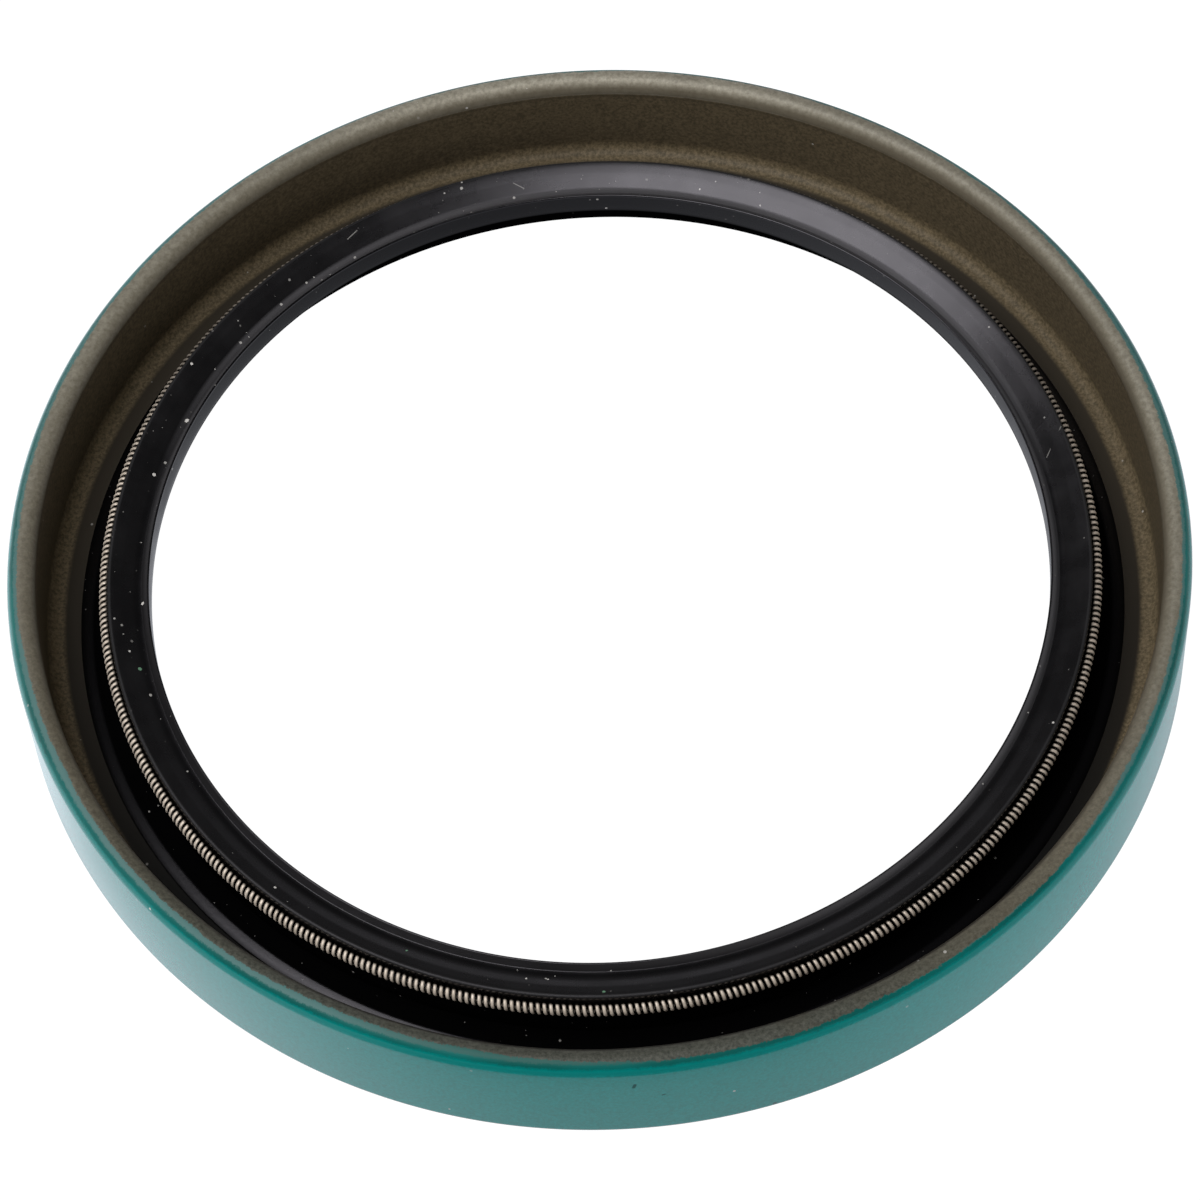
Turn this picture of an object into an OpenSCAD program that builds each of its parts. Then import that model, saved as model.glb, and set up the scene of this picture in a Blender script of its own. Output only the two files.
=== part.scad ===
// Rotary shaft oil seal: a pressed steel case, a moulded rubber lip and a coiled garter spring.
// The seal lies on its closed face at z = 0, with the shaft axis along z and the spring side up.

/* [Fit] */
// Diameter of the shaft that turns in the lip
shaft_d = 57.15; // [45:0.05:75]
// Radial height of the section, from the shaft to the housing bore that the case is pressed into
section_h = 7.9375; // [7.1:0.0125:10]
// How much smaller than the shaft the relaxed lip is, on the diameter
lip_interference = 1.2; // [0.6:0.05:1.8]

/* [Case] */
// Width of the seal along the shaft
seal_w = 8.5; // [7.5:0.05:12]
// Thickness of the pressed steel sheet
sheet_t = 1.74; // [1.5:0.02:1.92]
// Radius of the outer corner at the closed face
corner_r = 0.85; // [0.3:0.05:0.9]
// Radius of the inner corner between wall and flange
bend_r = 0.8; // [0.3:0.05:0.9]

/* [Lip] */
// Height of the top of the sealing edge above the closed face
edge_z = 5.65; // [5.1:0.05:6.2]
// Height of the straight contact band below the top of the sealing edge
edge_land = 1.65; // [1:0.05:1.8]
// Radial width of the flat top of the sealing edge
edge_flat = 0.12; // [0.06:0.02:0.2]
// Radial width of the face that falls from the sealing edge into the valley
trim_w = 0.36; // [0.24:0.02:0.5]
// Depth of the valley below the top of the sealing edge
trim_fall = 0.33; // [0.1:0.01:0.5]
// Radial width of the floor of the valley
valley_w = 0.3; // [0.1:0.02:0.4]
// Radial width of the sloping face outside the valley
slope_w = 1.78; // [1.5:0.02:2]
// Rise of the sloping face up to the crest of the lip
slope_rise = 0.8; // [0.4:0.05:1]
// Radius of the rounded crest
crest_r = 0.16; // [0.08:0.01:0.22]
// Gap between the shaft and the rubber bore below the lip
air_gap = 1.74; // [1.5:0.02:1.94]
// Height of the straight rubber bore at the closed face
bore_h = 1.1; // [0.8:0.05:1.5]
// Thickness of rubber inside the edge of the flange
edge_rubber_t = 1.38; // [1.2:0.02:1.52]
// Radial width of the rubber skin that is bonded on top of the flange
skin_w = 1; // [0.9:0.05:1.4]
// Thickness of that rubber skin
skin_t = 0.15; // [0.1:0.01:0.25]
// How far the skin falls from the neck to its outer edge
skin_fall = 0.08; // [0:0.01:0.09]
// Radius of the hollow between the skin and the neck of the lip
hollow_r = 0.2; // [0.1:0.05:0.8]

/* [Spring] */
// Outside diameter of the coil of the garter spring
coil_d = 0.9; // [0.8:0.02:1]
// Diameter of the spring wire
wire_d = 0.28; // [0.2:0.01:0.32]
// Number of turns in the whole ring
turns = 496; // [300:4:500]
// How far the coil centre lies below the top of the sealing edge
spring_drop = 0.71; // [0.6:0.01:0.9]
// How far the coil centre lies outside the crest of the lip
spring_out = 0.19; // [0.1:0.01:0.26]
// How far the neck below the groove lies inside the coil centre
neck_in = 0.1; // [0.05:0.01:0.2]
// Gap between the coil and its groove
groove_gap = 0.02; // [0.01:0.01:0.05]

/* [Hidden] */
$fn = 96;

// Case radii
housing_d = shaft_d + 2 * section_h;
case_r = housing_d / 2;
wall_r = case_r - sheet_t;
rim_r = sheet_t / 2;
rim_z = seal_w - rim_r;

// Lip radii and heights, counted outward and upward from the sealing edge
edge_r = (shaft_d - lip_interference) / 2;
flat_r = edge_r + edge_flat;
trim_r = flat_r + trim_w;
trim_z = edge_z - trim_fall;
valley_r = trim_r + valley_w;
crest_edge_r = valley_r + slope_w;
crest_z = trim_z + slope_rise;
bore_r = shaft_d / 2 + air_gap;
flange_r = bore_r + edge_rubber_t;
skin_r = flange_r + skin_w;
skin_z = sheet_t + skin_t;

// Spring and groove
spring_r = crest_edge_r + spring_out;
spring_z = edge_z - spring_drop;
groove_r = coil_d / 2 + groove_gap;
neck_r = spring_r - neck_in;
hollow_x = neck_r + hollow_r;
hollow_z = skin_z + hollow_r;

// Closed helix of the wire, four points to a turn and three sides to the wire
POINTS_PER_TURN = 4;
WIRE_SIDES = 3;
helix_n = turns * POINTS_PER_TURN;
helix_r = (coil_d - wire_d) / 2;

// Turn of the wire about the centre line of the ring at helix point i
function coil_angle(i) = -360 * i / POINTS_PER_TURN;
function ring_angle(i) = 360 * i / helix_n;

// Corner k of the wire section at helix point i, with one corner pointing out of the coil
function wire_corner(i, k) =
  let (
    side = 360 * k / WIRE_SIDES,
    reach = helix_r + wire_d / 2 * cos(side),
    along = wire_d / 2 * sin(side),
    r = spring_r + reach * cos(coil_angle(i)),
    z = spring_z + reach * sin(coil_angle(i)),
    a = ring_angle(i)
  )
  [r * cos(a) - along * sin(a), r * sin(a) + along * cos(a), z];

// Number of corner k at helix point i, closed in both directions
function corner_id(i, k) = WIRE_SIDES * (i % helix_n) + k % WIRE_SIDES;

// Section of the pressed case: flange, rounded corner, wall and rounded rim
module case_section() {
  translate([wall_r, corner_r]) square([sheet_t, rim_z - corner_r]);
  translate([case_r - rim_r, rim_z]) circle(r = rim_r);
  translate([flange_r, 0]) square([case_r - corner_r - flange_r, sheet_t]);
  translate([case_r - corner_r, corner_r]) circle(r = corner_r);
  difference() {
    translate([wall_r - bend_r, sheet_t / 2]) square([bend_r + sheet_t / 2, sheet_t / 2 + bend_r]);
    translate([wall_r - bend_r, sheet_t + bend_r]) circle(r = bend_r);
  }
}

// Section of the rubber before the hollow and the spring groove are taken out of it
module lip_blank() {
  polygon([
    [bore_r, 0],
    [flange_r, 0],
    [flange_r, sheet_t],
    [skin_r, sheet_t],
    [skin_r - skin_t, skin_z - skin_fall],
    [hollow_x, skin_z],
    [hollow_x, hollow_z],
    [neck_r, hollow_z],
    [neck_r, spring_z],
    [crest_edge_r, spring_z],
    [crest_edge_r, crest_z - crest_r],
    [crest_edge_r - crest_r, crest_z - crest_r * slope_rise / slope_w],
    [valley_r, trim_z],
    [trim_r, trim_z],
    [flat_r, edge_z],
    [edge_r, edge_z],
    [edge_r, edge_z - edge_land],
    [bore_r, bore_h]
  ]);
}

module lip_section() {
  difference() {
    lip_blank();
    translate([hollow_x, hollow_z]) circle(r = hollow_r);
    translate([spring_r, spring_z]) circle(r = groove_r);
  }
}

module outer_case() {
  color("darkcyan") rotate_extrude() case_section();
}

module seal_lip() {
  color("dimgray") rotate_extrude() lip_section();
}

module garter_spring() {
  color("wheat") polyhedron(
    points = [for (i = [0:helix_n - 1]) for (k = [0:WIRE_SIDES - 1]) wire_corner(i, k)],
    faces = [
      for (i = [0:helix_n - 1])
        for (k = [0:WIRE_SIDES - 1])
          for (half = [0, 1])
            half == 0
              ? [corner_id(i, k), corner_id(i, k + 1), corner_id(i + 1, k)]
              : [corner_id(i, k + 1), corner_id(i + 1, k + 1), corner_id(i + 1, k)]
    ]
  );
}

outer_case();
seal_lip();
garter_spring();
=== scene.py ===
"""Looks of the oil seal: rings turned from the solids' section, their finishes and a small studio."""
import math

import bpy
from mathutils import Matrix, Vector


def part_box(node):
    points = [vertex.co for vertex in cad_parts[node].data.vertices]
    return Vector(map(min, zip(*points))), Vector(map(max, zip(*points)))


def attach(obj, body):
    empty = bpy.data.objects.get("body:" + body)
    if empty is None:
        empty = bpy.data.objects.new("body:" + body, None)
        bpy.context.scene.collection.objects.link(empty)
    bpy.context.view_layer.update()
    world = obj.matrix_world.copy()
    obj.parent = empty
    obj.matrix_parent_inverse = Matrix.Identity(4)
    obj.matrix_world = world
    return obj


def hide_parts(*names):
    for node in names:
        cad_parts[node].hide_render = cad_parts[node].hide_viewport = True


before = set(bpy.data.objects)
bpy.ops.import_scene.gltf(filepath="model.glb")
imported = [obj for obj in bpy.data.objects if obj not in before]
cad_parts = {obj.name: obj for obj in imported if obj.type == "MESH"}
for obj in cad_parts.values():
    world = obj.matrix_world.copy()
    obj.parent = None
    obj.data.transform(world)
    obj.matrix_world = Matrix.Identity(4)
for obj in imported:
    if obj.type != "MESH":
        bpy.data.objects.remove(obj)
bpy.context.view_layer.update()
MM = 0.001
BODY = "root"

# Driving sizes in millimetres, read from the solids
_, case_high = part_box("outer_case")
_, lip_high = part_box("seal_lip")
coil_low, coil_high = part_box("garter_spring")
CASE_R = case_high.x / MM
SEAL_W = case_high.z / MM
SKIN_R = lip_high.x / MM
COIL_D = (coil_high.z - coil_low.z) / MM
SPRING_R = coil_high.x / MM - COIL_D / 2
SPRING_Z = (coil_high.z + coil_low.z) / 2 / MM

# Section of the case in millimetres. The rim's two arcs stop just short of meeting in one point
SHEET_T = 1.74
CORNER_R = 0.85
BEND_R = 0.8
RIM_R = SHEET_T / 2
RIM_ROUND = RIM_R * 0.999
WALL_R = CASE_R - SHEET_T
RIM_MID_R = CASE_R - RIM_R
RIM_MID_Z = SEAL_W - RIM_R
SKIN_W = 1.0
FLANGE_R = SKIN_R - SKIN_W
FLANGE_LOW_ROUND = 0.08
FLANGE_TOP_ROUND = 0.05

# Section of the lip in millimetres
SKIN_T = 0.15
SKIN_Z = SHEET_T + SKIN_T
SKIN_TURN_R = 31.95
SKIN_FALL = 0.085
SKIN_SIDE_W = 0.04
RUBBER_W = 1.38
BORE_R = FLANGE_R - RUBBER_W
BORE_H = 1.1
EDGE_R = 27.975
EDGE_Z = 5.65
EDGE_LAND = 1.65
FLAT_W = 0.12
FLAT_R = EDGE_R + FLAT_W
TRIM_W = 0.36
TRIM_R = FLAT_R + TRIM_W
TRIM_DROP = 0.33
TRIM_Z = EDGE_Z - TRIM_DROP
VALLEY_W = 0.3
VALLEY_R = TRIM_R + VALLEY_W
SLOPE_W = 1.78
SLOPE_RISE = 0.8
CREST_R = VALLEY_R + SLOPE_W
CREST_Z = TRIM_Z + SLOPE_RISE
GROOVE_GAP = 0.02
GROOVE_R = COIL_D / 2 + GROOVE_GAP
NECK_IN = 0.1
NECK_R = SPRING_R - NECK_IN

# The lip's face, slightly crowned: distance out from the valley and rise above it
FACE = ((0.0, 0.0), (0.9, 0.49), (1.4, 0.685), (SLOPE_W, SLOPE_RISE))

# Roundings of the lip's corners in millimetres
BORE_ROUND = 0.15
FOOT_ROUND = 0.06
SKIN_SIDE_ROUND = 0.02
SKIN_TURN_ROUND = 0.8
HOLLOW_ROUND = 0.15
CREST_ROUND = 0.15
FACE_ROUND = 2.0
VALLEY_ROUND = 0.9
TRIM_ROUND = 0.06
FLAT_ROUND = 0.13
EDGE_ROUND = 0.1
LAND_ROUND = 0.04
BORE_TOP_ROUND = 0.5

# Spring wire
TURNS = 496
WIRE_D = 0.28
HELIX_R = (COIL_D - WIRE_D) / 2
STEPS_PER_TURN = 16
WIRE_SIDES = 7

# Steps round a ring and along the arcs of its section, and the opening of a corner that counts as straight
RING_STEPS = 512
CASE_ARC_STEPS = 10
LIP_ARC_STEPS = 8
GROOVE_STEPS = 18
STRAIGHT = math.radians(178)

# Lights: direction from the seal, distance and width in metres, and radiance
KEY_LIGHT = ((-0.36, -0.17, 0.92), 0.55, 0.51, 5.2)
FRONT_LIGHT = ((0.4, -0.8, 0.42), 0.6, 0.4, 2.0)
LEFT_LIGHT = ((-0.92, 0.05, 0.33), 0.6, 0.45, 0.35)

# Room: its level above and in front, its level low down, and where it turns pale by depth and height
ROOM_DIM = 0.03
ROOM_SIDES = 0.7
ROOM_COLOUR = (0.95, 0.95, 1.0)
ROOM_BACK = (-0.5, 0.0)
ROOM_LOW = (0.28, 0.06)

# Floor as it is to the camera and as a soft surface
FLOOR_REACH = 3.0
FLOOR_PAINT = (0.9, 0.9, 0.9)
FLOOR_ROUGH = 0.9
FLOOR_WHITE = 1.08
FLOOR_WHITE_COLOUR = (1.0, 1.0, 1.0)
FLOOR_COLOUR = (0.95, 0.98, 1.06)
FLOOR_WHITE_SHARE = 0.94
FLOOR_BOUNCE_SHARE = 0.6

# Floor's painted light in gloss, brighter at the left: metres to the right of the axis at both ends of a
# change, and the level at both
GLOSS_ACROSS = (-0.034, -0.004, 1.16, 0.60)
GLOSS_RIGHT = (0.030, 0.042, 0.0, 0.25)
GLOSS_LEFT = (-0.034, -0.041, 0.0, 0.5)

# Painted shadow of the seal on the floor in gloss, straight in front and some way out in millimetres
GLOSS_FRONT = (-92, 0.85, 0.96)
GLOSS_FRONT_OUT = (40.2, 43, 0.0, 0.85)

# Floor's painted bounce light, a glow for soft light, as places round the seal
BOUNCE_FRONT = (-92, 0.5, 0.95, 0.95, 0.5)
BOUNCE_RIGHT = (-18, 0.5, 0.95, 0.0, 1.1)

# Larger crumbs on the lip: azimuth in degrees, radius and width in millimetres
LIP_CRUMBS = (
    (162, 28.95, 0.22),
    (153, 28.5, 0.28),
    (146, 30.1, 0.18),
    (-134, 29.8, 0.16),
    (-179, 28.4, 0.22),
    (-172, 29.5, 0.14),
    (-102, 29.25, 0.13),
    (-99.5, 29.15, 0.13),
    (-85.5, 30.5, 0.20),
    (-28, 30.2, 0.15),
)

# Crumbs of the green coat on the lip, in the same terms
GREEN_CRUMBS = (
    (-169.5, 29.1, 0.24),
    (-116.5, 29.25, 0.14),
    (-93, 30.1, 0.18),
)
CRUMB_LENGTH = 0.05

# Hairs on the lip: azimuth and radius of both ends, and width
LIP_HAIRS = (
    (10.5, 28.96, 13.5, 30.4, 0.06),
    (96.0, 29.2, 97.2, 29.6, 0.06),
    (118.0, 29.9, 119.6, 29.7, 0.07),
)
HAIR_SHARE = 0.3

# Dark pits in the coat: azimuth and height of both ends, and width
COAT_PITS = (
    (-90.25, 6.5, -90.4, 6.15, 0.2),
    (-87.8, 4.85, -87.6, 4.92, 0.15),
)
PIT_MATTE = 0.75

# Camera fitted to the photograph
PHOTO_SIDE = 1200
FOCAL_PX = 4850.6
SENSOR = 36.0
CAMERA_ELEVATION = math.radians(58.325)
CAMERA_ROLL = math.radians(-4.255)
CAMERA_DISTANCE = 306.011 * MM
CAMERA_TARGET = Vector((-0.096, 0.594, 0)) * MM
CAMERA_CLIP = (0.01, 10)


def arc(mid, radius, start, end, steps):
    """Points of an arc about mid, from start to end in degrees."""
    angles = [math.radians(start + (end - start) * i / steps) for i in range(steps + 1)]
    return [(mid[0] + radius * math.cos(a), mid[1] + radius * math.sin(a)) for a in angles]


def rounded(corners, steps):
    """A closed outline from (r, z, radius) corners, with an arc of that radius at each corner."""
    outline = []
    count = len(corners)
    for i, (r, z, radius) in enumerate(corners):
        here = Vector((r, z))
        before = (Vector(corners[i - 1][:2]) - here).normalized()
        after = (Vector(corners[(i + 1) % count][:2]) - here).normalized()
        opening = before.angle(after)
        if radius <= 0 or opening > STRAIGHT:
            outline.append((r, z))
            continue
        reach = radius / math.tan(opening / 2)
        mid = here + (before + after).normalized() * (radius / math.sin(opening / 2))
        first, last = here + before * reach - mid, here + after * reach - mid
        turn = first.angle_signed(last)
        for k in range(steps + 1):
            spoke = first.copy()
            spoke.rotate(Matrix.Rotation(-turn * k / steps, 2))
            outline.append((mid.x + spoke.x, mid.y + spoke.y))
    return outline


def ring(name, outline, material, node, slot):
    """A ring turned about the shaft axis from a closed outline in millimetres, standing for a CAD node."""
    verts, faces = [], []
    count = len(outline)
    for step in range(RING_STEPS):
        a = 2 * math.pi * step / RING_STEPS
        c, d = math.cos(a) * MM, math.sin(a) * MM
        verts += [(r * c, r * d, z * MM) for r, z in outline]
    for step in range(RING_STEPS):
        here, there = step * count, (step + 1) % RING_STEPS * count
        for k in range(count):
            n = (k + 1) % count
            faces.append((here + k, there + k, there + n, here + n))
    piece(name, verts, faces, material, node, slot)


def piece(name, verts, faces, material, node, slot):
    """A smooth mesh that rides on the seal and stands for a CAD node."""
    mesh = bpy.data.meshes.new(name)
    mesh.from_pydata(verts, [], faces)
    mesh.polygons.foreach_set("use_smooth", [True] * len(mesh.polygons))
    mesh.materials.append(material)
    mesh.update()
    made = bpy.data.objects.new(name, mesh)
    bpy.context.scene.collection.objects.link(made)
    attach(made, BODY)
    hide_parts(node)


class Shader:
    """Nodes of a material or a world, built from short calls. Values may be numbers, colours or sockets."""

    def __init__(self, owner, surface="Principled BSDF"):
        owner.use_nodes = True
        self.owner = owner
        self.tree = owner.node_tree
        self.surface = self.tree.nodes[surface]

    def feed(self, socket, value):
        """Links a socket to another, or sets its value. A colour of three numbers is made opaque."""
        if isinstance(value, bpy.types.NodeSocket):
            self.tree.links.new(value, socket)
        elif isinstance(value, tuple) and len(value) == 3 and len(socket.default_value) == 4:
            socket.default_value = (*value, 1.0)
        else:
            socket.default_value = value

    def set(self, **values):
        """Feeds the shader's own sockets, named with underscores."""
        for name, value in values.items():
            title = name.replace("_", " ").title().replace("Ior", "IOR")
            self.feed(self.surface.inputs[title], value)

    def math(self, operation, *values):
        """Result of a maths node."""
        node = self.tree.nodes.new("ShaderNodeMath")
        node.operation = operation
        for socket, value in zip(node.inputs, values):
            self.feed(socket, value)
        return node.outputs[0]

    def plus(self, first, second):
        """Sum of two values."""
        return self.math("ADD", first, second)

    def minus(self, first, second):
        """First value less the second."""
        return self.math("SUBTRACT", first, second)

    def most(self, first, second):
        """Larger of two values."""
        return self.math("MAXIMUM", first, second)

    def times(self, first, *others):
        """Product of two or more values."""
        for other in others:
            first = self.math("MULTIPLY", first, other)
        return first

    def vector(self, operation, *values):
        """A vector maths node. Its scale is fed by name, because that socket comes after the vectors."""
        node = self.tree.nodes.new("ShaderNodeVectorMath")
        node.operation = operation
        for socket, value in zip(node.inputs, values):
            self.feed(socket, value)
        return node

    def place(self, space="Object"):
        """Coordinates of a point, in metres from the seal's origin unless another space is named."""
        return self.tree.nodes.new("ShaderNodeTexCoord").outputs[space]

    def split(self, space="Object"):
        """The three coordinates of a point, one by one."""
        node = self.tree.nodes.new("ShaderNodeSeparateXYZ")
        self.feed(node.inputs[0], self.place(space))
        return node.outputs

    def polar(self):
        """Distance from the shaft axis and height, both in millimetres."""
        x, y, z = self.split()
        r = self.math("SQRT", self.plus(self.times(x, x), self.times(y, y)))
        return self.math("DIVIDE", r, MM), self.math("DIVIDE", z, MM)

    def facing(self, azimuth):
        """Cosine of the way round the shaft axis from an azimuth in degrees: 1 there, -1 opposite."""
        x, y, _ = self.split()
        here = self.math("DEGREES", self.math("ARCTAN2", y, x))
        return self.math("COSINE", self.math("RADIANS", self.minus(here, azimuth)))

    def sideways(self):
        """How far the surface faces along the ring: 0 across it, 1 straight along it."""
        along = self.vector("CROSS_PRODUCT", (0.0, 0.0, 1.0), self.place()).outputs[0]
        along = self.vector("NORMALIZE", along).outputs[0]
        share = self.vector("DOT_PRODUCT", self.place("Normal"), along).outputs["Value"]
        return self.math("ABSOLUTE", share)

    def span(self, value, start, end, low=0.0, high=1.0, smooth=False):
        """Goes from low to high as a value goes from start to end, and stays there beyond."""
        node = self.tree.nodes.new("ShaderNodeMapRange")
        node.interpolation_type = "SMOOTHSTEP" if smooth else "LINEAR"
        for socket, number in zip(node.inputs, (value, start, end, low, high)):
            self.feed(socket, number)
        return node.outputs[0]

    def past(self, value, size, start, end, low=0.0, high=1.0, smooth=False):
        """A span whose start and end are counted from a size."""
        return self.span(value, size + start, size + end, low, high, smooth)

    def toward(self, azimuth, start, end, low=0.0, high=1.0, smooth=False):
        """A span over the cosine of the way round from an azimuth, from start to end."""
        return self.span(self.facing(azimuth), start, end, low, high, smooth)

    def between(self, share, low, high):
        """Goes from low to high as a share goes from 0 to 1."""
        return self.span(share, 0, 1, low, high)

    def mix(self, share, first, second):
        """Colour that goes from the first to the second as a share goes from 0 to 1."""
        node = self.tree.nodes.new("ShaderNodeMix")
        node.data_type = "RGBA"
        self.feed(node.inputs["Factor"], share)
        self.feed(node.inputs[6], first)
        self.feed(node.inputs[7], second)
        return node.outputs[2]

    def noise(self, size, detail, roughness=0.55):
        """Noise from 0 to 1 whose blotches are about size millimetres across."""
        node = self.tree.nodes.new("ShaderNodeTexNoise")
        node.inputs["Scale"].default_value = 1 / (size * MM)
        node.inputs["Detail"].default_value = detail
        node.inputs["Roughness"].default_value = roughness
        self.feed(node.inputs["Vector"], self.place())
        return node.outputs["Fac"]

    def sway(self, swing, *grain):
        """Noise about 0, over a whole swing."""
        return self.times(self.minus(self.noise(*grain), 0.5), swing)

    def specks(self, spacing, radius, keep, least=0.35):
        """Mask and shade of round specks, in millimetres. Keep is the share of cells that hold one."""
        node = self.tree.nodes.new("ShaderNodeTexVoronoi")
        node.inputs["Scale"].default_value = 1 / (spacing * MM)
        self.feed(node.inputs["Vector"], self.place())
        draw = self.tree.nodes.new("ShaderNodeSeparateColor")
        self.feed(draw.inputs[0], node.outputs["Color"])
        chosen = self.math("LESS_THAN", draw.outputs[0], keep)
        size = self.times(self.plus(draw.outputs[1], least), radius / spacing)
        inside = self.math("LESS_THAN", node.outputs["Distance"], size)
        return self.times(chosen, inside), draw.outputs[2]

    def stroke(self, start, end, width):
        """Mask of a straight mark between two points in metres, width in millimetres."""
        along = end - start
        reach = self.vector("SUBTRACT", self.place(), tuple(start)).outputs[0]
        share = self.vector("DOT_PRODUCT", reach, tuple(along / along.length_squared)).outputs["Value"]
        step = self.vector("SCALE", tuple(along))
        self.feed(step.inputs["Scale"], self.math("MINIMUM", self.most(share, 0.0), 1.0))
        off = self.vector("SUBTRACT", reach, step.outputs[0]).outputs[0]
        away = self.vector("LENGTH", off).outputs["Value"]
        return self.math("LESS_THAN", away, width / 2 * MM)

    def bump(self, height, depth, strength):
        """Bump whose height of 1 stands depth millimetres proud."""
        node = self.tree.nodes.new("ShaderNodeBump")
        node.inputs["Strength"].default_value = strength
        node.inputs["Distance"].default_value = depth * MM
        self.feed(node.inputs["Height"], height)
        self.feed(self.surface.inputs["Normal"], node.outputs[0])


# Colours, linear
TEAL = (0.001, 0.25, 0.232)
TEAL_MID = (0.0008, 0.175, 0.160)
TEAL_DARK = (0.0005, 0.085, 0.075)
TEAL_FILM = (0.018, 0.095, 0.083)
TEAL_PALE = (0.062, 0.150, 0.142)
RIM_TAN = (0.36, 0.335, 0.268)
RIM_BROWN = (0.20, 0.18, 0.138)
RIM_FILM = (0.036, 0.038, 0.031)
RIM_FILM_PALE = (0.086, 0.088, 0.072)
RIM_DUSK = (0.050, 0.043, 0.028)
RIM_DUSK_PALE = (0.115, 0.101, 0.070)
RIM_INNER = (0.095, 0.078, 0.052)
COAT_PIT = (0.001, 0.075, 0.068)
WALL_BROWN = (0.144, 0.110, 0.065)
WALL_GRAIN = (0.064, 0.050, 0.029)
WALL_DARK = (0.055, 0.041, 0.023)
FLANGE_BROWN = (0.028, 0.0225, 0.0155)
# Near black for painted shade on the flange and inside the rim
SHADE_PAINT_BLACK = (0.002, 0.0018, 0.0014)
RUBBER = (0.0012, 0.0012, 0.0013)
RUBBER_FACE = (0.0052, 0.0050, 0.0052)
RUBBER_WORN = (0.0085, 0.0082, 0.0085)
# Painted highlights of the lip's crest and sealing edge, brightest at the right
RUBBER_CREST_HIGHLIGHT = (0.030, 0.0295, 0.0305)
RUBBER_EDGE_HIGHLIGHT = (0.055, 0.053, 0.056)
RUBBER_EDGE_GLINT = (0.085, 0.083, 0.088)
DUST = (0.55, 0.53, 0.50)
CRUMB_GREEN = (0.12, 0.24, 0.15)
STEEL_BONE = (0.68, 0.59, 0.50)
STEEL_DARK = (0.52, 0.445, 0.365)
# Near black for painted shade on the wire
STEEL_SHADE_PAINT = (0.004, 0.0034, 0.0028)
GLOSS_TINT = (0.96, 0.92, 1.0)
IOR = 1.5

# A place round the seal: azimuth (0 right, 90 far, -90 near), cosines at a change's ends, values at both
# A turn: degrees round the rim, 0 outward and 90 up, at both ends of a change, and values at both
# A grain: size of the noise's blotches in millimetres, detail and roughness

# Edge of the coat: how it sways in degrees of the turn, where it reaches further or less, and where it ends
COAT_FINE = (22, 0.12, 3, 0.6)
COAT_RAGGED = (18, 0.5, 4, 0.6)
COAT_PATCHY = (26, 6, 2)
COAT_REACH = (-135, 0.6, 0.95, 0, 12)
COAT_SHORT_FAR = (90, 0.5, 0.85, 0, 16)
COAT_SHORT_NEAR = (-68, 0.8, 0.97, 0, 14)
COAT_END_TURN = (77, 73)
COAT_FOOT = (0.25, 0.4)
COAT_INSIDE = 0.2

# Colour of the coat: its grain, the line where it darkens over the rim, and its pale end
COAT_GRAIN = (0.22, 4, 0.75)
COAT_GRAIN_DARK = (0.35, 0.65, 0.0, 0.45)
COAT_MID_TURN = (8, 22)
COAT_LINE_TURN = (34, 46)
COAT_LINE_GRAIN = (9, 2)
COAT_LINE_GAPS = (0.36, 0.56, 0.6, 1.0)
COAT_PALE_TURN = (58, 65)
COAT_PALE_END = (-92, 0.88, 0.98)
COAT_SPECKS = (1.6, 0.14, 0.03)

# Steel of the wall: its grain and clouds, and a painted shade line under the rim in millimetres from the
# rim's middle
WALL_NOISE = (0.22, 4, 0.7)
WALL_NOISE_STEP = (0.38, 0.62)
WALL_CLOUD = (3.5, 3)
WALL_CLOUD_DARK = (0.55, 0.75, 0.0, 0.25)
UNDER_RIM_FOOT = (-0.4, -0.25)
UNDER_RIM_TOP = (-0.05, -0.15)
UNDER_RIM_SHARE = 0.5

# Flange: how far in from the wall and up to which height above the sheet, and where it is painted in shade,
# at the near side
FLANGE_FROM_WALL = (-0.85, -1.25)
FLANGE_UP = (0.2, 0.1)
FLANGE_LIT = (90, -0.6, 0.2)

# Rim: where it starts, its grain, the film that covers it away from the far side, and its inner turn,
# painted in shade at the near side
RIM_FROM = (-0.10, 0.10)
RIM_GRAIN = (0.3, 5, 0.7)
RIM_GRAIN_STEP = (0.34, 0.66)
FILM_NEAR = (75, 0.9, -0.8)
FILM_BESIDE = (90, 0.99, 0.87, 0.0, 0.42)
FILM_BESIDE_END = (90, -0.1, 0.35)
FILM_GREEN = (-100, 0.55, 0.9)
FILM_GRAIN = (0.25, 5, 0.75)
FILM_GRAIN_STEP = (0.36, 0.64)
INNER_TURN = (108, 150, 0.0, 0.85)
INNER_FAR = (40, -0.6, 0.6, 0.3, 1.0)
INNER_SHADE_TURN = (122, 136)
INNER_SHADE = (-82, 0.55, 0.85, 0.0, 0.65)

# Dust and gloss of the case
CASE_DUST = (0.8, 0.075, 0.06)
CASE_DUST_SHADE = (0.15, 0.9)
BARE_ROUGH = (0.5, 0.48)
COAT_ROUGH = (36, 48, 0.2, 0.45)
LOW_WALL_UP = (1.0, 0.45)
WALL_STEEL = (0.2, 0.0)
RIM_STEEL = (0.16, 0.05)
COAT_STEEL = 0.0
DULL_NEAR = (-95, 0.2, 0.8)
DULL_TURN = (100, 125, 0.0, 0.85)
CASE_SHINE = (0.5, 0.15)
PEEL_COARSE = (0.7, 2)
PEEL_FINE = (0.25, 3, 0.6)
PEEL_SHARE = 0.4
CASE_BUMP = (0.02, 0.5)

# Open face of the lip: its clouds, where it is worn greyer, and where it starts
LIP_CLOUD = (2.2, 4)
FACE_CLOUD_WORN = (0.4, 0.75, 0.0, 0.8)
FACE_NEAR_WORN = (-95, 0.3, 0.9)
FACE_BELOW = 0.05
FACE_FROM_VALLEY = (-0.05, 0.25, 0.2, 1.0)
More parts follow.
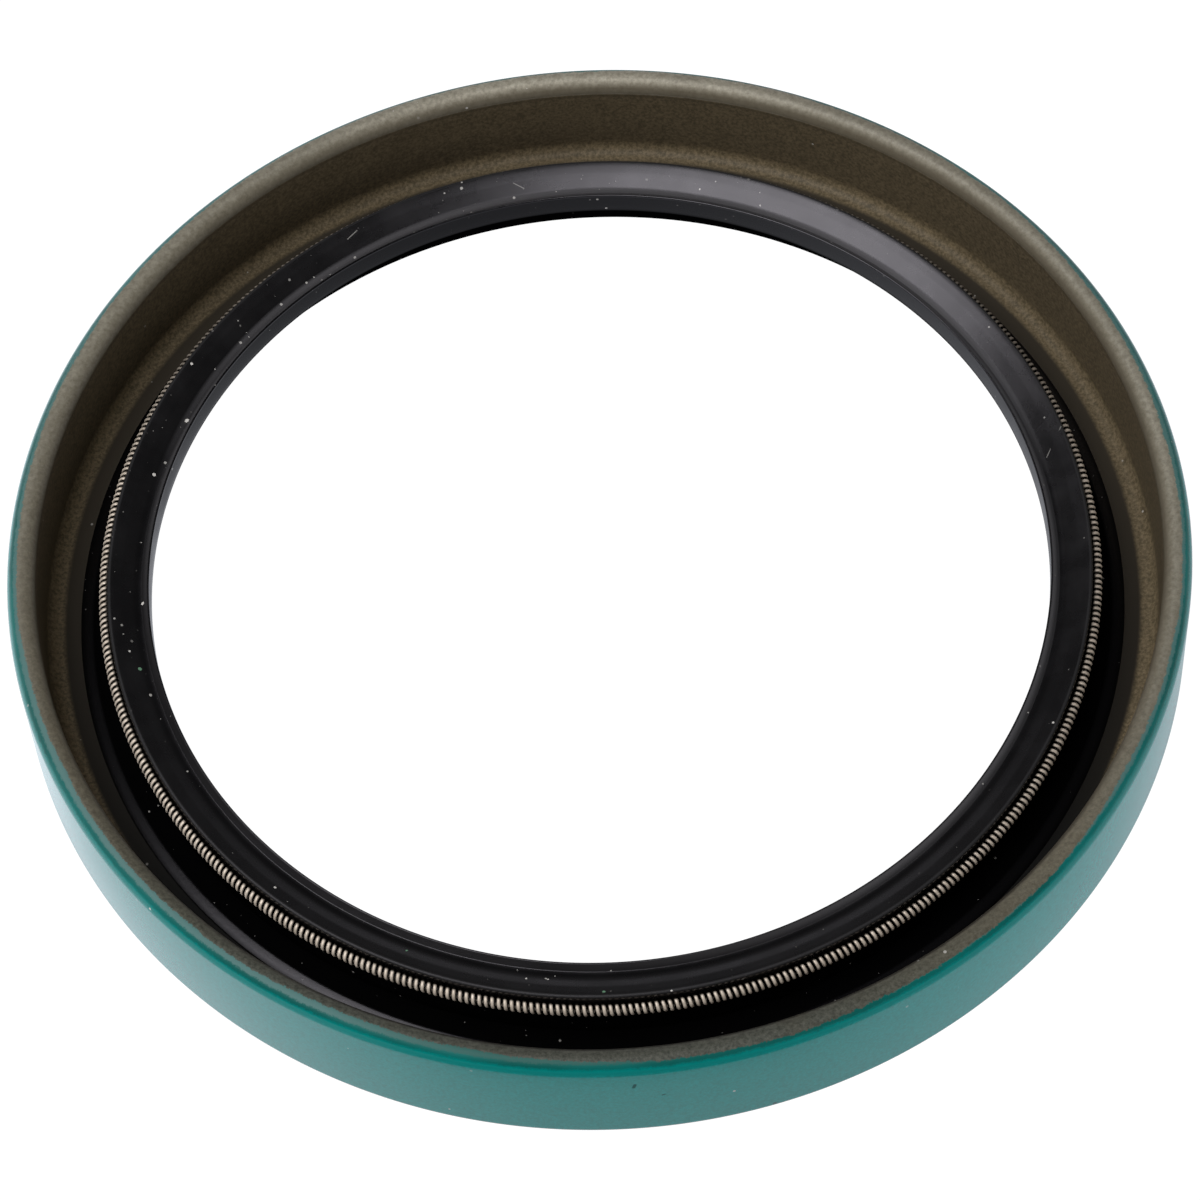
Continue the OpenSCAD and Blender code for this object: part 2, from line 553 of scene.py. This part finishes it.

# Painted highlights on the roundings of the lip in millimetres from its sizes: the crest, the sealing edge
# and the far valley
CREST_IN = (-0.24, -0.14)
CREST_DOWN = (-0.2, -0.1)
CREST_SHARE = 0.6
BEAD_OUT = 0.10
BEAD_FROM_FLAT = (-0.04, 0.04)
VALLEY_FROM_FLAT = (0.0, 0.1)
VALLEY_OUT = (0.15, -0.05)
VALLEY_FAR = (85, 0.2, 0.75)
BEAD_UP = (-0.05, 0.0)
EDGE_SHINY = (-5, 0.3, 0.9)
EDGE_HIGHLIGHT_FADE = (-130, 0.3, 0.85)

# Dust on the lip, mostly at the far left: spacing and radius, share of cells, and strength
DUST_SIDE = (130, 0.1, 0.7)
DUST_BELOW = 0.1
DUST_COARSE = (0.55, 0.075)
DUST_COARSE_KEEP = (0.05, 0.36)
DUST_COARSE_SHADE = (0.05, 0.75)
DUST_FINE = (0.4, 0.035)
DUST_FINE_KEEP = (0.18, 0.4)
DUST_FINE_SHADE = (0.0, 0.3)

# Gloss of the lip: under the sealing edge, on the skin and in the hollow beside it, and on the face
CONTACT_OUT = (0.08, 0.03)
CONTACT_DOWN = (-0.08, -0.16)
CONTACT_SHINE = (0, -1, 1, 0.05, 0.28)
SKIN_DOWN = (-0.6, -0.9)
SKIN_SHINE = (-0.35, -0.05, 0.36, 0.08)
SKIN_ROUGH = 0.2
HOLLOW_IN = (0.1, -0.1)
FACE_SHINE = 0.5
FADE_START = 0.7
FADE_END = -0.1
FADE_MOST = 0.55
FADE_FAR = (105, 0.75, 0.97)
FADE_SHARE = 0.5
ROUNDING_SHINE = (1.0, 0.35)
ROUNDING_ROUGH = 0.15
FACE_ROUGH = (0.3, 0.7, 0.24, 0.32)
LIP_GRAIN = (0.35, 3)
LIP_BUMP = (0.004, 0.5)

# Wire: its tarnish, and where it is painted lit, by radius, by the side it turns, by height and round the
# seal, with painted shade elsewhere
WIRE_TARNISH = (0.5, 4)
WIRE_TARNISH_STEP = (0.35, 0.7)
LIT_PAINT_OUT = (-0.08, 0.06)
LIT_PAINT_ACROSS = (0.9, 0.5)
LIT_PAINT_UP = (-0.3, -0.05)
LIT_PAINT_NEAR = (-95, -0.5, -0.2, 0.3, 1.0)
WIRE_STEEL = (0.0, 0.2)
WIRE_SHINE = (0.0, 0.3)
WIRE_ROUGH = 0.45
WIRE_GRAIN = (0.08, 2)
WIRE_BUMP = (0.003, 0.4)


def spot(azimuth, r, z):
    """A point in metres from an azimuth in degrees and millimetres out from and up the shaft axis."""
    a = math.radians(azimuth)
    return Vector((r * math.cos(a), r * math.sin(a), z)) * MM


def face_z(r):
    """Height of the lip's face at a radius, in millimetres."""
    out = r - VALLEY_R
    for (near, low), (far, high) in zip(FACE, FACE[1:]):
        if out <= far:
            return TRIM_Z + low + (high - low) * max(0.0, out - near) / (far - near)
    return CREST_Z


def coat_mask(s, z, rough_turn, outside):
    """Where the coat is: it reaches highest at the near left, and least far away and at the near right."""
    short = s.plus(s.toward(*COAT_SHORT_FAR), s.toward(*COAT_SHORT_NEAR))
    reach = s.minus(s.toward(*COAT_REACH), short)
    turn = s.minus(s.plus(rough_turn, s.sway(*COAT_PATCHY)), reach)
    return s.times(outside, s.span(turn, *COAT_END_TURN), s.span(z, *COAT_FOOT))


def coat_colour(s, rim_turn, rough_turn):
    """Green of the coat, darker in a line over the rim and thin where it ends."""
    film = s.mix(s.span(s.noise(*COAT_GRAIN), *COAT_GRAIN_DARK), TEAL, TEAL_DARK)
    film = s.mix(s.span(rim_turn, *COAT_MID_TURN), film, TEAL_MID)
    gaps = s.span(s.noise(*COAT_LINE_GRAIN), *COAT_LINE_GAPS)
    film = s.mix(s.times(s.span(rough_turn, *COAT_LINE_TURN), gaps), film, TEAL_DARK)
    pale = s.mix(s.toward(*COAT_PALE_END), TEAL_PALE, TEAL_FILM)
    film = s.mix(s.span(rough_turn, *COAT_PALE_TURN), film, pale)
    specks, _ = s.specks(*COAT_SPECKS)
    return s.mix(specks, film, TEAL_DARK)


def rim_colour(s, filmed):
    """Steel of the rim, worn bright at the far side and covered by a dull film at the near side."""
    worn = s.mix(s.span(s.noise(*RIM_GRAIN), *RIM_GRAIN_STEP), RIM_BROWN, RIM_TAN)
    grain = s.span(s.noise(*FILM_GRAIN), *FILM_GRAIN_STEP)
    green = s.mix(grain, RIM_FILM, RIM_FILM_PALE)
    brown = s.mix(grain, RIM_DUSK, RIM_DUSK_PALE)
    return s.mix(filmed, worn, s.mix(s.toward(*FILM_GREEN), brown, green))


def steel_colour(s, r, z, rim_turn, grain, on_rim, filmed, inner_shade):
    """Brown phosphated steel of the wall, the rim and the flange, with painted shade on the flange and
    inside the rim at the near side, and in a line under the rim.
    """
    wall = s.mix(s.span(grain, *WALL_NOISE_STEP), WALL_GRAIN, WALL_BROWN)
    steel = s.mix(on_rim, wall, rim_colour(s, filmed))
    inner = s.times(on_rim, s.span(rim_turn, *INNER_TURN), s.toward(*INNER_FAR))
    steel = s.mix(inner, steel, RIM_INNER)
    # Painted shade on the inner side of the rim at the near side
    steel = s.mix(s.times(inner_shade, on_rim), steel, SHADE_PAINT_BLACK)
    steel = s.mix(s.span(s.noise(*WALL_CLOUD), *WALL_CLOUD_DARK), steel, WALL_DARK)
    # Painted shade in a line under the rim
    under_rim_shade = s.times(s.past(z, RIM_MID_Z, *UNDER_RIM_FOOT), s.past(z, RIM_MID_Z, *UNDER_RIM_TOP))
    steel = s.mix(s.times(under_rim_shade, UNDER_RIM_SHARE), steel, WALL_DARK)
    # Painted shade on the flange, darkest at the near side and brown where lit at the far side
    in_from_wall = s.past(r, WALL_R, *FLANGE_FROM_WALL, smooth=True)
    on_flange = s.times(in_from_wall, s.past(z, SHEET_T, *FLANGE_UP))
    return s.mix(on_flange, steel, s.mix(s.toward(*FLANGE_LIT), SHADE_PAINT_BLACK, FLANGE_BROWN))


def case_finish():
    """Green sealing coat outside, wearing out over the rim, and brown phosphated steel elsewhere."""
    s = Shader(bpy.data.materials.new("case_coating"))
    r, z = s.polar()
    turned = s.math("ARCTAN2", s.minus(z, RIM_MID_Z), s.minus(r, RIM_MID_R))
    rim_turn = s.math("DEGREES", turned)
    rough_turn = s.plus(rim_turn, s.plus(s.sway(*COAT_FINE), s.sway(*COAT_RAGGED)))
    outside = s.math("GREATER_THAN", r, WALL_R + COAT_INSIDE)
    on_rim = s.past(z, RIM_MID_Z, *RIM_FROM, smooth=True)
    grain = s.noise(*WALL_NOISE)
    beside = s.times(s.toward(*FILM_BESIDE), s.toward(*FILM_BESIDE_END))
    filmed = s.most(s.toward(*FILM_NEAR), beside)
    # Mask of painted shade on the rim's inner side at the near side
    inner_shade = s.times(s.span(rim_turn, *INNER_SHADE_TURN), s.toward(*INNER_SHADE))

    coat = coat_mask(s, z, rough_turn, outside)
    green = coat_colour(s, rim_turn, rough_turn)
    matte = inner_shade
    for start, low, end, high, width in COAT_PITS:
        pit = s.stroke(spot(start, CASE_R, low), spot(end, CASE_R, high), width)
        green = s.mix(pit, green, COAT_PIT)
        matte = s.most(matte, s.times(pit, PIT_MATTE))
    colour = s.mix(coat, steel_colour(s, r, z, rim_turn, grain, on_rim, filmed, inner_shade), green)
    dust, shade = s.specks(*CASE_DUST)
    colour = s.mix(s.times(dust, s.between(shade, *CASE_DUST_SHADE)), colour, DUST)

    low_wall = s.times(s.past(z, SHEET_T, *LOW_WALL_UP), s.minus(1.0, outside))
    steel = s.between(on_rim, s.between(low_wall, *WALL_STEEL), s.between(filmed, *RIM_STEEL))
    rough = s.between(coat, s.between(on_rim, *BARE_ROUGH), s.span(rough_turn, *COAT_ROUGH))
    dull_rim = s.most(s.toward(*DULL_NEAR), s.span(rim_turn, *DULL_TURN))
    dull = s.most(low_wall, s.times(on_rim, dull_rim))
    shine = s.times(s.between(dull, *CASE_SHINE), s.minus(1.0, matte))
    s.set(base_color=colour, roughness=rough, ior=IOR, metallic=s.between(coat, steel, COAT_STEEL),
          specular_ior_level=shine)
    peel = s.times(s.plus(s.noise(*PEEL_COARSE), s.noise(*PEEL_FINE)), coat)
    grit = s.times(grain, s.minus(1.0, coat))
    s.bump(s.plus(s.times(peel, PEEL_SHARE), grit), *CASE_BUMP)
    return s.owner


def dusted(s, z, colour):
    """The lip's colour with specks of dust, which lie mostly at the far left, crumbs and hairs."""
    dusty = s.times(s.toward(*DUST_SIDE), s.span(z, SPRING_Z, TRIM_Z - DUST_BELOW))
    coarse, coarse_shade = s.specks(*DUST_COARSE, s.between(dusty, *DUST_COARSE_KEEP))
    fine, fine_shade = s.specks(*DUST_FINE, s.between(dusty, *DUST_FINE_KEEP))
    colour = s.mix(s.times(fine, s.between(fine_shade, *DUST_FINE_SHADE)), colour, DUST)
    colour = s.mix(s.times(coarse, s.between(coarse_shade, *DUST_COARSE_SHADE)), colour, DUST)
    up = Vector((0, 0, CRUMB_LENGTH)) * MM
    for crumbs, crumb in ((LIP_CRUMBS, DUST), (GREEN_CRUMBS, CRUMB_GREEN)):
        for azimuth, radius, width in crumbs:
            here = spot(azimuth, radius, face_z(radius))
            colour = s.mix(s.stroke(here, here + up, width), colour, crumb)
    for first, low, last, high, width in LIP_HAIRS:
        hair = s.stroke(spot(first, low, face_z(low)), spot(last, high, face_z(high)), width)
        colour = s.mix(s.times(hair, HAIR_SHARE), colour, DUST)
    return colour


def rubber_finish():
    """Glossy black moulded rubber, greyer on the open face of the lip, with painted highlights on its
    roundings.
    """
    s = Shader(bpy.data.materials.new("lip_rubber"))
    r, z = s.polar()
    cloud = s.noise(*LIP_CLOUD)
    near_face = s.mix(s.toward(*FACE_NEAR_WORN), RUBBER_FACE, RUBBER_WORN)
    face = s.mix(s.span(cloud, *FACE_CLOUD_WORN), near_face, RUBBER_WORN)
    above = s.span(z, SPRING_Z, TRIM_Z - FACE_BELOW)
    colour = s.mix(s.times(above, s.past(r, VALLEY_R, *FACE_FROM_VALLEY)), RUBBER, face)

    crest = s.times(s.past(r, CREST_R, *CREST_IN), s.past(z, CREST_Z, *CREST_DOWN))
    bead = s.times(s.span(r, TRIM_R + BEAD_OUT, FLAT_R + BEAD_OUT), s.past(r, FLAT_R, *BEAD_FROM_FLAT))
    far_valley = s.times(s.past(r, VALLEY_R, *VALLEY_OUT), s.past(r, FLAT_R, *VALLEY_FROM_FLAT))
    far_valley = s.times(far_valley, s.toward(*VALLEY_FAR))
    bead = s.times(s.most(bead, far_valley), s.past(z, TRIM_Z, *BEAD_UP))
    rounding = s.most(crest, bead)
    # Painted highlight along the crest
    colour = s.mix(s.times(crest, CREST_SHARE), colour, RUBBER_CREST_HIGHLIGHT)
    # Painted highlight along the sealing edge and the far valley, brightest at the right and fading at the
    # near left
    edge = s.mix(s.toward(*EDGE_SHINY), RUBBER_EDGE_HIGHLIGHT, RUBBER_EDGE_GLINT)
    edge = s.mix(s.toward(*EDGE_HIGHLIGHT_FADE), edge, RUBBER_WORN)
    colour = dusted(s, z, s.mix(bead, colour, edge))

    contact = s.times(s.past(r, EDGE_R, *CONTACT_OUT), s.past(z, EDGE_Z, *CONTACT_DOWN))
    on_skin = s.past(z, SPRING_Z, *SKIN_DOWN)
    hollow = s.times(on_skin, s.past(r, SKIN_TURN_R, *HOLLOW_IN))
    fade = s.span(r, VALLEY_R + FADE_START, CREST_R + FADE_END, 0.0, FADE_MOST)
    fade = s.times(fade, s.toward(*FADE_FAR))
    face_shine = s.minus(FACE_SHINE, s.times(fade, FADE_SHARE))
    face_shine = s.times(face_shine, s.between(rounding, *ROUNDING_SHINE))
    shine = s.between(contact, face_shine, s.toward(*CONTACT_SHINE))
    shine = s.between(on_skin, shine, s.past(r, SKIN_R, *SKIN_SHINE))
    rough = s.plus(s.span(cloud, *FACE_ROUGH), s.times(rounding, ROUNDING_ROUGH))
    s.set(base_color=colour, roughness=s.between(on_skin, rough, SKIN_ROUGH), ior=IOR,
          specular_tint=GLOSS_TINT, specular_ior_level=s.between(hollow, shine, 0.0))
    s.bump(s.noise(*LIP_GRAIN), *LIP_BUMP)
    return s.owner


def wire_finish():
    """Spring steel with a pale satin tarnish, painted lit on the outer side of the coil and painted in shade
    elsewhere.
    """
    s = Shader(bpy.data.materials.new("spring_wire"))
    r, z = s.polar()
    # Painted light on the outer, upper side of each turn, weaker at the far side; painted shade elsewhere
    lit_paint = s.times(s.past(r, SPRING_R, *LIT_PAINT_OUT), s.span(s.sideways(), *LIT_PAINT_ACROSS))
    lit_paint = s.times(lit_paint, s.past(z, SPRING_Z, *LIT_PAINT_UP), s.toward(*LIT_PAINT_NEAR))
    steel = s.mix(s.span(s.noise(*WIRE_TARNISH), *WIRE_TARNISH_STEP), STEEL_BONE, STEEL_DARK)
    s.set(base_color=s.mix(lit_paint, STEEL_SHADE_PAINT, steel), metallic=s.between(lit_paint, *WIRE_STEEL),
          roughness=WIRE_ROUGH, specular_ior_level=s.between(lit_paint, *WIRE_SHINE))
    s.bump(s.noise(*WIRE_GRAIN), *WIRE_BUMP)
    return s.owner


def case_outline():
    """Section of the case: flange, corner, wall and rounded rim."""
    return rounded([
        (FLANGE_R, 0, FLANGE_LOW_ROUND),
        (CASE_R, 0, CORNER_R),
        (CASE_R, SEAL_W, RIM_ROUND),
        (WALL_R, SEAL_W, RIM_ROUND),
        (WALL_R, SHEET_T, BEND_R),
        (FLANGE_R, SHEET_T, FLANGE_TOP_ROUND),
    ], CASE_ARC_STEPS)


def lip_outline():
    """Section of the lip: closed face, skin, hollow, spring groove, crest, valley and sealing edge."""
    low_turn = math.degrees(math.acos((NECK_R - SPRING_R) / GROOVE_R))
    high_turn = math.degrees(math.acos((CREST_R - SPRING_R) / GROOVE_R))
    groove = arc((SPRING_R, SPRING_Z), GROOVE_R, 360 - low_turn, high_turn, GROOVE_STEPS)
    return rounded([
        (BORE_R, 0, BORE_ROUND),
        (FLANGE_R, 0, FOOT_ROUND),
        (FLANGE_R, SHEET_T, 0),
        (SKIN_R, SHEET_T, 0),
        (SKIN_R - SKIN_SIDE_W, SKIN_Z - SKIN_FALL, SKIN_SIDE_ROUND),
        (SKIN_TURN_R, SKIN_Z, SKIN_TURN_ROUND),
        (NECK_R, SKIN_Z, HOLLOW_ROUND),
        *[(r, z, 0) for r, z in groove],
        (CREST_R, CREST_Z, CREST_ROUND),
        *[(VALLEY_R + out, TRIM_Z + rise, FACE_ROUND) for out, rise in FACE[-2:0:-1]],
        (VALLEY_R, TRIM_Z, VALLEY_ROUND),
        (TRIM_R, TRIM_Z, TRIM_ROUND),
        (FLAT_R, EDGE_Z, FLAT_ROUND),
        (EDGE_R, EDGE_Z, EDGE_ROUND),
        (EDGE_R, EDGE_Z - EDGE_LAND, LAND_ROUND),
        (BORE_R, BORE_H, BORE_TOP_ROUND),
    ], LIP_ARC_STEPS)


def spring_mesh():
    """The closed helix of the garter spring, with a round wire and as many turns as the solid."""
    count = TURNS * STEPS_PER_TURN
    verts, faces = [], []
    for i in range(count):
        a = 2 * math.pi * i / count
        coil = -2 * math.pi * i / STEPS_PER_TURN
        outward = Vector((math.cos(a), math.sin(a), 0))
        spoke = outward * math.cos(coil) + Vector((0, 0, math.sin(coil)))
        along = Vector((-math.sin(a), math.cos(a), 0))
        mid = outward * SPRING_R + Vector((0, 0, SPRING_Z)) + spoke * HELIX_R
        for k in range(WIRE_SIDES):
            t = 2 * math.pi * k / WIRE_SIDES
            verts.append((mid + (spoke * math.cos(t) + along * math.sin(t)) * WIRE_D / 2) * MM)
    for i in range(count):
        here, there = i * WIRE_SIDES, (i + 1) % count * WIRE_SIDES
        for k in range(WIRE_SIDES):
            n = (k + 1) % WIRE_SIDES
            faces.append((here + k, here + n, there + n, there + k))
    return verts, faces


def camera():
    """The photograph's view: seen from the front and above, with a slight roll."""
    back = Vector((0, -math.cos(CAMERA_ELEVATION), math.sin(CAMERA_ELEVATION)))
    level = Vector((1, 0, 0))
    rise = back.cross(level)
    c, d = math.cos(CAMERA_ROLL), math.sin(CAMERA_ROLL)
    right, up = level * c + rise * d, rise * c - level * d
    lens = bpy.data.cameras.new("camera")
    lens.sensor_width = SENSOR
    lens.lens = SENSOR * FOCAL_PX / PHOTO_SIDE
    lens.clip_start, lens.clip_end = CAMERA_CLIP
    made = bpy.data.objects.new("camera", lens)
    turn = Matrix((right, up, back)).transposed().to_4x4()
    made.matrix_world = Matrix.Translation(CAMERA_TARGET + back * CAMERA_DISTANCE) @ turn
    bpy.context.scene.collection.objects.link(made)
    bpy.context.scene.camera = made


def softbox(name, towards, distance, width, radiance):
    """A round soft light in a direction from the seal, which it faces."""
    lamp = bpy.data.lights.new(name, "AREA")
    lamp.shape = "DISK"
    lamp.size = width
    lamp.energy = radiance * math.pi * math.pi * (width / 2) ** 2
    made = bpy.data.objects.new(name, lamp)
    where = Vector(towards).normalized() * distance
    made.location = where
    made.rotation_euler = (-where).to_track_quat("-Z", "Y").to_euler()
    bpy.context.scene.collection.objects.link(made)
    return made


def floor_finish():
    """A pale floor, white to the camera but for a trace of shadow, with painted light levels for gloss and
    soft light and a painted shadow in front.
    """
    s = Shader(bpy.data.materials.new("floor_white"))
    s.set(base_color=FLOOR_PAINT, roughness=FLOOR_ROUGH)
    x, _, _ = s.split()
    out, _ = s.polar()
    # Painted light of the floor in gloss, brighter at the left
    gloss_light = s.plus(s.span(x, *GLOSS_ACROSS, smooth=True), s.span(x, *GLOSS_RIGHT))
    gloss_light = s.plus(gloss_light, s.span(x, *GLOSS_LEFT))
    # Painted shadow of the seal on the floor in front, in gloss
    front_shadow = s.times(s.toward(*GLOSS_FRONT), s.span(out, *GLOSS_FRONT_OUT))
    gloss_light = s.times(gloss_light, s.minus(1.0, front_shadow))
    # Painted bounce light: the floor glows for soft light, more in front and at the right
    bounce = s.plus(s.toward(*BOUNCE_FRONT, smooth=True), s.toward(*BOUNCE_RIGHT))

    rays = s.tree.nodes.new("ShaderNodeLightPath").outputs
    to_camera = rays["Is Camera Ray"]
    mirrored = s.most(rays["Is Glossy Ray"], rays["Is Transmission Ray"])
    seen = s.most(to_camera, mirrored)
    white = s.tree.nodes.new("ShaderNodeEmission")
    s.feed(white.inputs["Strength"], s.between(seen, bounce, s.between(to_camera, gloss_light, FLOOR_WHITE)))
    s.feed(white.inputs["Color"], s.mix(to_camera, FLOOR_COLOUR, FLOOR_WHITE_COLOUR))
    blend = s.tree.nodes.new("ShaderNodeMixShader")
    s.feed(blend.inputs[0], s.between(seen, FLOOR_BOUNCE_SHARE, FLOOR_WHITE_SHARE))
    s.feed(blend.inputs[1], s.surface.outputs[0])
    s.feed(blend.inputs[2], white.outputs[0])
    s.feed(s.tree.nodes["Material Output"].inputs["Surface"], blend.outputs[0])
    return s.owner


def room():
    """A dim room that is pale only low down, at the sides and behind the seal."""
    s = Shader(bpy.data.worlds.new("room"), "Background")
    _, y, z = s.split("Generated")
    low_sides = s.times(s.span(y, *ROOM_BACK), s.span(z, *ROOM_LOW))
    s.set(color=ROOM_COLOUR, strength=s.between(low_sides, ROOM_DIM, ROOM_SIDES))
    bpy.context.scene.world = s.owner


def studio():
    """The floor, a large soft light from the upper left, weak ones from the front and left, and the room."""
    mesh = bpy.data.meshes.new("floor")
    corners = [(x * FLOOR_REACH, y * FLOOR_REACH, 0) for x, y in ((-1, -1), (1, -1), (1, 1), (-1, 1))]
    mesh.from_pydata(corners, [], [(0, 1, 2, 3)])
    mesh.materials.append(floor_finish())
    floor = bpy.data.objects.new("floor", mesh)
    bpy.context.scene.collection.objects.link(floor)
    softbox("key", *KEY_LIGHT)
    softbox("front", *FRONT_LIGHT).visible_glossy = False
    softbox("left", *LEFT_LIGHT)
    room()


ring("case", case_outline(), case_finish(), "outer_case", "case_coating")
ring("lip", lip_outline(), rubber_finish(), "seal_lip", "lip_rubber")
piece("spring", *spring_mesh(), wire_finish(), "garter_spring", "spring_wire")
camera()
studio()
bpy.context.scene.view_settings.view_transform = "Standard"
